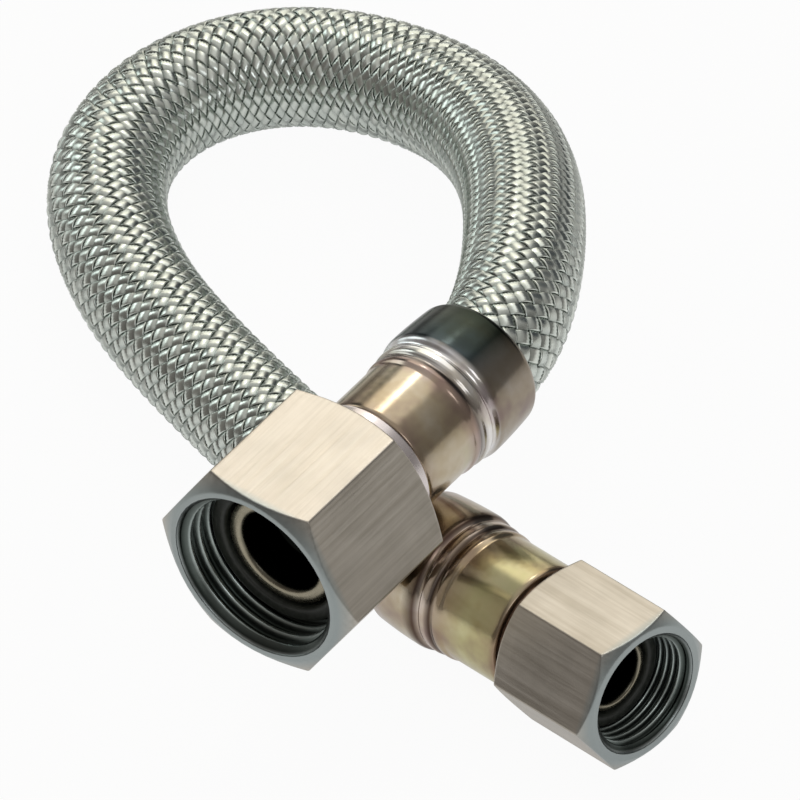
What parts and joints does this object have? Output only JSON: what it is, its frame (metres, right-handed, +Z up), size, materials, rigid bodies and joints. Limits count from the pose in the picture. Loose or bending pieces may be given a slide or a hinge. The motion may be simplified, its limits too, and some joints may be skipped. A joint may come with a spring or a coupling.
{
  "type": "sink supply line",
  "caption": "Braided steel water supply line with a hexagonal swivel nut on each end and crimped ferrules, lying in one crossed loop.",
  "frame": {"origin": "middle of the box round the two end fittings, on the surface that the line lies on", "axes": "+X along the longest extent of the two end fittings, about the way the small nut's mouth faces; -Y the way the large nut's mouth faces; +Z up from the surface"},
  "size_m": [0.1209, 0.1016, 0.0381],
  "materials": {
    "nickel_plate": "finely brushed",
    "stem_brass": "satin",
    "ferrule_steel": "polished",
    "seal_rubber": "matte",
    "tube_rubber": "matte",
    "braid_steel": "woven fine wire"
  },
  "bodies": {
    "line": {"steel_braid": "braid_steel", "inner_tube": "tube_rubber", "large_stem": "stem_brass", "small_stem": "stem_brass", "large_washer": "seal_rubber", "small_washer": "seal_rubber", "large_ferrule": "ferrule_steel", "small_ferrule": "ferrule_steel"},
    "large_swivel": {"large_nut": "nickel_plate"},
    "small_swivel": {"small_nut": "nickel_plate"}
  },
  "joints": [
    {"name": "large_nut_turn", "type": "hinge", "parent": "line", "child": "large_swivel", "pos_m": [-0.0128, -0.0217, 0.02535], "axis": [0, -1, 0], "continuous": true},
    {"name": "small_nut_turn", "type": "hinge", "parent": "line", "child": "small_swivel", "pos_m": [0.0252, -0.00045, 0.00875], "axis": [0.9874, -0.1582, 0], "continuous": true}
  ]
}
